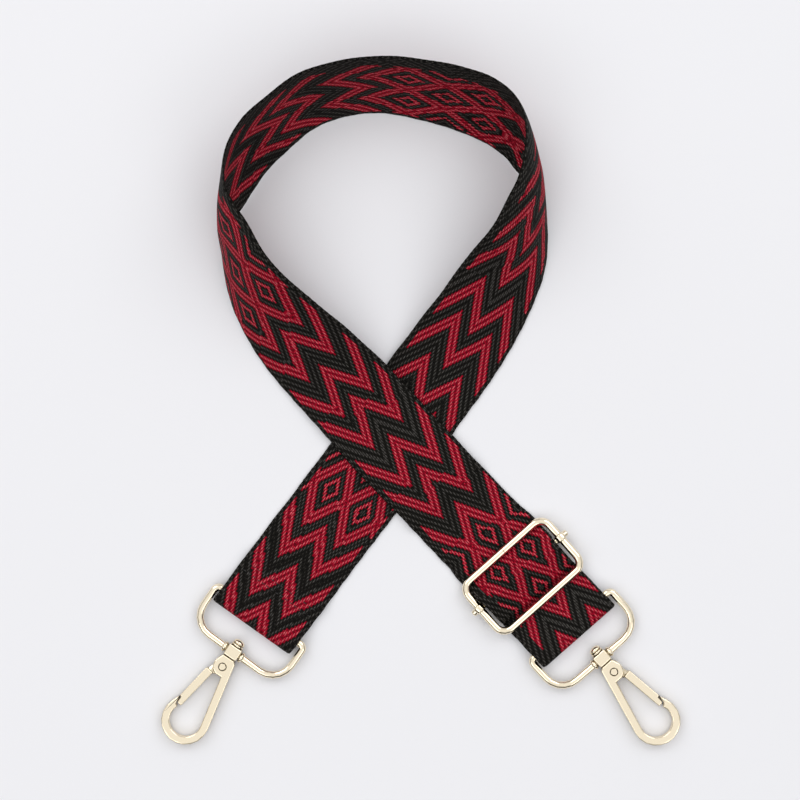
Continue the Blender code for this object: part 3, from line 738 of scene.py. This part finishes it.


# %% [markdown]
# ## The webbing's finish
#
# Each float is a short rounded bump of soft polyester yarn, three rows long. The floats of
# neighbouring columns step along with the stroke that they belong to, so they line up in ribs that
# run with the zigzags. The bumps could be modelled, but tens of thousands of them would slow every
# render, so nodes work out the height of each float from the UV map. The same height paints shade
# into the gaps between the floats and a highlight onto their crowns, and it drives the bump.

# %% The yarn's colours and shares
black_yarn, red_yarn = (0.0100, 0.0090, 0.0070, 1), (0.37, 0.001, 0.018, 1)
# lit_yarn is the pale colour of the painted highlight on each float's crown.
lit_yarn = (0.70, 0.66, 0.64, 1)
# Painted shade: these values lighten each float's crown and darken its gaps and ends in the colour.
gap_light, crown_light, bead_light, bead_length = 0.45, 0.6, 0.5, 0.55
end_gap_shade, end_gap_sharpness = 0.6, 6.0
fibre_scale, fibre_detail, fibre_contrast, fibre_offset, fibre_least = 1300.0, 3.0, 3.6, 0.8, 0.15
# Strength of the painted highlight on black floats, and how much more red floats get.
black_glint, more_red_glint = 0.075, 0.085
yarn_roughness, yarn_specular, float_height, fibre_height = 0.6, 0.06, 0.0003, 0.3


# %% Webbing material
def centred(tree, value):
    """From -1 to 1 across each float."""
    return maths(tree, 'SUBTRACT', product(tree, maths(tree, 'FRACT', value), 2.0), 1.0)


def crown(tree, value):
    """1 in the middle of a float, falling to 0 at its rim like a round."""
    return maths(tree, 'SUBTRACT', 1.0, product(tree, value, value))


def face_value(tree, name):
    node = tree.nodes.new("ShaderNodeAttribute")
    node.attribute_name = name
    return node.outputs["Fac"]


def webbing_material():
    material, tree, shader = new_material("jacquard_webbing")
    weave = tree.nodes.new("ShaderNodeUVMap")
    weave.uv_map = "weave"
    floats = tree.nodes.new("ShaderNodeUVMap")
    floats.uv_map = "float"
    split = tree.nodes.new("ShaderNodeSeparateXYZ")
    tree.links.new(floats.outputs[0], split.inputs[0])
    side, end = centred(tree, split.outputs["X"]), centred(tree, split.outputs["Y"])
    across_crown = crown(tree, side)
    height = product(tree, across_crown, crown(tree, end))
    bead = crown(tree, maths(tree, 'DIVIDE', end, bead_length))
    bead = product(tree, maths(tree, 'MAXIMUM', bead, 0.0), across_crown)

    fibre = tree.nodes.new("ShaderNodeTexNoise")
    tree.links.new(weave.outputs[0], fibre.inputs["Vector"])
    fibre.inputs["Scale"].default_value = fibre_scale
    fibre.inputs["Detail"].default_value = fibre_detail
    vary = maths(tree, 'SUBTRACT', product(tree, fibre.outputs["Fac"], fibre_contrast), fibre_offset)
    vary = maths(tree, 'MAXIMUM', vary, fibre_least)

    red, crease = face_value(tree, "red"), face_value(tree, "shade")
    # Painted shade and highlight: the colour is darkened in the gaps between floats and at the crease
    # row, and the pale highlight colour is mixed onto each crown.
    light = maths(tree, 'ADD', product(tree, height, crown_light), gap_light)
    light = maths(tree, 'ADD', light, product(tree, bead, bead_light))
    end_gap = maths(tree, 'POWER', maths(tree, 'ABSOLUTE', end), end_gap_sharpness)
    open_end = maths(tree, 'SUBTRACT', 1.0, product(tree, end_gap, end_gap_shade))
    shade = product(tree, light, open_end, vary, crease)
    grey = tree.nodes.new("ShaderNodeCombineXYZ")
    for socket in grey.inputs:
        tree.links.new(shade, socket)
    colour = mix_colour(tree, red, black_yarn, red_yarn)
    colour = mix_colour(tree, 1.0, colour, grey.outputs[0], 'MULTIPLY')
    shine = maths(tree, 'ADD', product(tree, red, more_red_glint), black_glint)
    colour = mix_colour(tree, product(tree, bead, bead, vary, shine, crease), colour, lit_yarn)
    tree.links.new(colour, shader.inputs["Base Color"])
    shader.inputs["Roughness"].default_value = yarn_roughness
    shader.inputs["Specular IOR Level"].default_value = yarn_specular

    bump = tree.nodes.new("ShaderNodeBump")
    bump.inputs["Strength"].default_value = 1.0
    bump.inputs["Distance"].default_value = float_height
    whole_height = maths(tree, 'ADD', height, product(tree, fibre.outputs["Fac"], fibre_height))
    tree.links.new(whole_height, bump.inputs["Height"])
    tree.links.new(bump.outputs[0], shader.inputs["Normal"])
    return material


jacquard = webbing_material()
print("Webbing finish of", len(jacquard.node_tree.nodes), "nodes")

# %% [markdown]
# ## Cutting the band at the joints
#
# The band is one length, but it must bend where the slider moves, so it is cut into stretches. A
# stretch between two joints is attached to one body; a stretch that crosses a joint is attached to
# no body and stays where it lies at rest. An armature could bend the whole band, but the
# imported model knows only rigid bodies. At rest the stretches meet without a gap. Leg A's stretch
# ends under the crossing, where its cut can't be seen.


under_crossing = 0.158
stretches = [
    ("webbing_leg_a", 0.0, under_crossing, "strap", None),
    ("webbing_loop", under_crossing, cuts[0], "strap", None),
    ("webbing_above_slider", cuts[0], cuts[1], ("strap", "adjuster"), (-run_start, top_bar_reach)),
    ("webbing_over_slider_a", cuts[1], cuts[2], ("adjuster", "slide_bar"), (top_bar_reach, bar_place)),
    ("webbing_over_slider_b", cuts[2], cuts[3], ("slide_bar", "adjuster"), (bar_place, low_bar_reach)),
    ("webbing_below_slider", cuts[3], cuts[4], ("adjuster", "strap_end"), (low_bar_reach, slack_reach)),
    ("webbing_fold_b", cuts[4], cuts[5], "strap_end", None),
    ("webbing_back_run", cuts[5], cuts[6], ("strap_end", "adjuster"), (slack_reach, low_bar_reach)),
    ("webbing_tail", cuts[6], cuts[7], ("adjuster", "slide_bar"), (low_bar_reach, bar_place)),
]
for name, start, end, body, reach in stretches:
    piece = webbing(name, start, end)
    piece.data.materials.append(jacquard)
    if reach is None:
        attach(piece, body)
    else:
        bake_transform(piece)
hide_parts("webbing_main")
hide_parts("webbing_run")
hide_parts("webbing_end_loop")
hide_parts("webbing_return")

# %% [markdown]
# ## Sewing
#
# The folded end of leg A is held by two rows of black lockstitch through both layers. A row could
# be a dashed line in the webbing's colour, but thread stands proud and catches the light, so one
# stitch is shaped from a small sphere, and its two ends are pressed down to where the thread dives
# into the cloth. Array modifiers then repeat it along and across.

# %% One stitch
stitch_length, thread_width = 0.0024, 0.00045
pressed_from, pressed_by = 0.33, 0.35

bpy.ops.mesh.primitive_uv_sphere_add(segments=10, ring_count=8, radius=1.0, location=(0, 0, 0))
stitches = bpy.context.object
stitches.name = "stitching_fold_a"
bpy.ops.object.mode_set(mode='EDIT')
bpy.ops.transform.resize(value=(stitch_length / 2, thread_width / 2, thread_width / 2))
shape = bmesh.from_edit_mesh(stitches.data)
for point in shape.verts:
    point.select_set(abs(point.co.x) > stitch_length * pressed_from)
shape.select_flush_mode()
bmesh.update_edit_mesh(stitches.data)
bpy.ops.transform.translate(value=(0, 0, -thread_width * pressed_by))
bpy.ops.mesh.select_all(action='SELECT')
bpy.ops.mesh.normals_make_consistent(inside=False)
bpy.ops.object.mode_set(mode='OBJECT')
bpy.ops.object.shade_smooth()
print("One stitch of", len(stitches.data.polygons), "faces")

# %% Rows of stitches
stitch_gap, side_margin = 0.0006, 0.004
stitch_rows, row_gap, first_row_reach = 2, 0.0044, -0.0272

stitch_step = stitch_length + stitch_gap
stitch_count = int((webbing_width - side_margin) / stitch_step)
for count, offset in ((stitch_count, (stitch_step, 0, 0)), (stitch_rows, (0, row_gap, 0))):
    array = stitches.modifiers.new("repeat", 'ARRAY')
    array.count = count
    array.use_relative_offset = False
    array.use_constant_offset = True
    array.constant_offset_displace = offset
    bpy.ops.object.modifier_apply(modifier=array.name)
start = -(stitch_count - 1) * stitch_step / 2
row_place = leg_place(leg_a_length, leg_a_angle, first_row_reach, layer(1) + webbing_thickness / 2)
stitches.location = row_place + bearing(clasp_a_angle - 90) * start
stitches.rotation_euler = (0, 0, math.radians(clasp_a_angle - 90))
bpy.ops.object.transform_apply(location=True, rotation=True, scale=True)
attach(stitches, "strap")
print("Sewn with", stitch_count * stitch_rows, "stitches")

# %% [markdown]
# ## Sewing thread
#
# Bonded thread is three yarns twisted together. The twist could be modelled as a helix, but the
# thread is half a millimetre thick, so slanting bands of painted light and shade, in two greys, show it
# well enough.

# %% Thread finish
# The lighter grey is painted light on the crests of the twist; the thread itself is black.
thread_dark, thread_light = (0.008, 0.007, 0.007, 1), (0.04, 0.037, 0.036, 1)
twist_scale, thread_roughness = 900.0, 0.55

thread, tree, shader = new_material("black_thread")
twist = tree.nodes.new("ShaderNodeTexWave")
twist.bands_direction = 'DIAGONAL'
twist.inputs["Scale"].default_value = twist_scale
place = tree.nodes.new("ShaderNodeTexCoord")
tree.links.new(place.outputs["Object"], twist.inputs["Vector"])
thread_colour = mix_colour(tree, twist.outputs["Fac"], thread_dark, thread_light)
tree.links.new(thread_colour, shader.inputs["Base Color"])
shader.inputs["Roughness"].default_value = thread_roughness
stitches.data.materials.append(thread)
print("Thread", thread_width * 1000, "mm thick")

# %% [markdown]
# ## Plated metal
#
# The rings, hooks and slider are zinc castings and wire with a pale gold plating. A plain metal
# colour would look like plastic. Real plating has faint clouds of roughness, as polishing leaves
# them. The colour also gets painted shade in corners and where a piece lies close to another or to
# the floor, and a painted dark reflection along its edges. Masks could be drawn for this, but here
# ambient occlusion finds the corners, and a Bevel node rounds the edges and tells how far they turn.

# %% Values of the plating
gold_colour, gold_roughness = (0.97, 0.86, 0.66), 0.08
steel_colour, steel_roughness = (0.55, 0.55, 0.56), 0.3
cloud_scale, cloud_detail, cloud_roughness, cloud_tint = 180.0, 4.0, 0.04, 0.12
corner_reach, corner_samples, corner_dark, corner_open = 0.0028, 12, 0.38, 0.80
edge_radius, edge_samples, edge_turned, edge_flat = 0.0005, 6, 0.92, 0.985
# The first shares are the plating's own uneven tone; the second darken the colour as painted shade in
# corners, the third as a painted dark reflection along edges.
worn_shares, corner_shade_shares, edge_reflection_shares = (0.95, 0.86, 0.72), (0.25, 0.21, 0.13), (0.34, 0.29, 0.19)


# %% Gold plating
def darker(colour, shares):
    return (*(part * share for part, share in zip(colour, shares)), 1.0)


def plated_metal(name, colour, roughness):
    material, tree, shader = new_material(name)
    shader.inputs["Metallic"].default_value = 1.0
    place = tree.nodes.new("ShaderNodeTexCoord")
    noise = tree.nodes.new("ShaderNodeTexNoise")
    noise.inputs["Scale"].default_value = cloud_scale
    noise.inputs["Detail"].default_value = cloud_detail
    tree.links.new(place.outputs["Object"], noise.inputs["Vector"])
    clouds = noise.outputs["Fac"]
    uneven = maths(tree, 'ADD', product(tree, clouds, cloud_roughness), roughness - cloud_roughness / 2)
    tree.links.new(uneven, shader.inputs["Roughness"])
    worn = product(tree, clouds, cloud_tint)
    colour_here = mix_colour(tree, worn, (*colour, 1.0), darker(colour, worn_shares))

    # Painted dark reflection: the colour darkens along edges, where the rounded normal turns away from
    # the face.
    edges = tree.nodes.new("ShaderNodeBevel")
    edges.samples = edge_samples
    edges.inputs["Radius"].default_value = edge_radius
    tree.links.new(edges.outputs[0], shader.inputs["Normal"])
    surface = tree.nodes.new("ShaderNodeNewGeometry")
    turned = vector_maths(tree, 'DOT_PRODUCT', edges.outputs[0], surface.outputs["Normal"])
    flat_face = stretch(tree, turned, edge_turned, edge_flat)
    colour_here = mix_colour(tree, flat_face, darker(colour, edge_reflection_shares), colour_here)

    # Painted shade: the colour darkens in corners and close to the floor, the webbing or other pieces.
    corners = tree.nodes.new("ShaderNodeAmbientOcclusion")
    corners.samples = corner_samples
    corners.inputs["Distance"].default_value = corner_reach
    open_face = stretch(tree, corners.outputs["AO"], corner_dark, corner_open, 'SMOOTHSTEP')
    colour_here = mix_colour(tree, open_face, darker(colour, corner_shade_shares), colour_here)
    tree.links.new(colour_here, shader.inputs["Base Color"])
    return material


gold = plated_metal("pale_gold_plating", gold_colour, gold_roughness)
steel = plated_metal("spring_steel", steel_colour, steel_roughness)
print("Plating of", len(gold.node_tree.nodes), "nodes")

# %% [markdown]
# ## The seam of the slider's wire
#
# The slider's frame is one wire, bent until its two ends meet in the upper bar, where a thin dark
# line remains. It could be cut into the metal, but the joint is closed and flush, so only the
# plating is darkened, in a slice of space across the wire.

# %% Seam in the wire
seam_offset, seam_reach, seam_width, seam_colour = 0.0022, 0.004, 0.0003, (0.20, 0.12, 0.06, 1)


def wire_seam(material, middle, along):
    """Darken the plating in a thin line across a wire, where its two ends meet."""
    tree = material.node_tree
    place = tree.nodes.new("ShaderNodeTexCoord")
    offset = vector_maths(tree, 'SUBTRACT', place.outputs["Object"], middle)
    lengthwise = vector_maths(tree, 'DOT_PRODUCT', offset, along)
    away = vector_maths(tree, 'DISTANCE', place.outputs["Object"], middle)
    in_line = maths(tree, 'LESS_THAN', maths(tree, 'ABSOLUTE', lengthwise), seam_width / 2)
    in_reach = maths(tree, 'LESS_THAN', away, seam_reach)
    socket = tree.nodes["Principled BSDF"].inputs["Base Color"]
    plating = socket.links[0].from_socket
    tree.links.new(mix_colour(tree, product(tree, in_line, in_reach), plating, seam_colour), socket)


frame_gold = plated_metal("pale_gold_wire", gold_colour, gold_roughness)
across_b = bearing(clasp_b_angle + 90)
seam_place = leg_place(leg_b_length, leg_b_angle, top_bar_reach, frame_top_height)
wire_seam(frame_gold, seam_place + across_b * seam_offset, across_b)
print("Seam", seam_offset * 1000, "mm off the leg's middle")

# %% [markdown]
# ## Smooth castings
#
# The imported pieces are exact, but their round faces are made of flats, and a mirror finish shows
# every flat. They could be modelled again, but their shape is right, so each is copied, its loose
# triangles are merged into one skin, and the skin is shaded smooth wherever two faces meet at a
# shallow angle. Real corners stay sharp, and a Weighted Normal modifier keeps the large flat faces
# flat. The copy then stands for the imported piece.

# %% Polished copies of the metal pieces
smooth_angle = math.radians(34)
merge_distance = 0.000002
area_weight = 100


def polished(node_name, body, finish):
    for item in bpy.context.selected_objects:
        item.select_set(False)
    piece = bpy.data.objects.new(node_name + "_polished", frame["nodes"][node_name].data.copy())
    scene.collection.objects.link(piece)
    bpy.context.view_layer.objects.active = piece
    piece.select_set(True)
    loose = len(piece.data.vertices)
    bpy.ops.object.mode_set(mode='EDIT')
    bpy.ops.mesh.select_all(action='SELECT')
    bpy.ops.mesh.remove_doubles(threshold=merge_distance)
    bpy.ops.object.mode_set(mode='OBJECT')
    bpy.ops.object.shade_smooth_by_angle(angle=smooth_angle)
    level = piece.modifiers.new("flats stay flat", 'WEIGHTED_NORMAL')
    level.mode = 'FACE_AREA'
    level.weight = area_weight
    level.keep_sharp = True
    bpy.ops.object.modifier_apply(modifier=level.name)
    piece.data.materials.clear()
    piece.data.materials.append(finish)
    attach(piece, body)
    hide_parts(node_name)
    print(node_name, loose, "corners merged to", len(piece.data.vertices))


finishes = {"gate_spring_a": steel, "gate_spring_b": steel, "adjuster_frame": frame_gold}
bodies = frame["record"]["behaviour"]["bodies"]
for body, node_names in bodies.items():
    for node_name in node_names:
        if not node_name.startswith("webbing"):
            polished(node_name, body, finishes.get(node_name, gold))
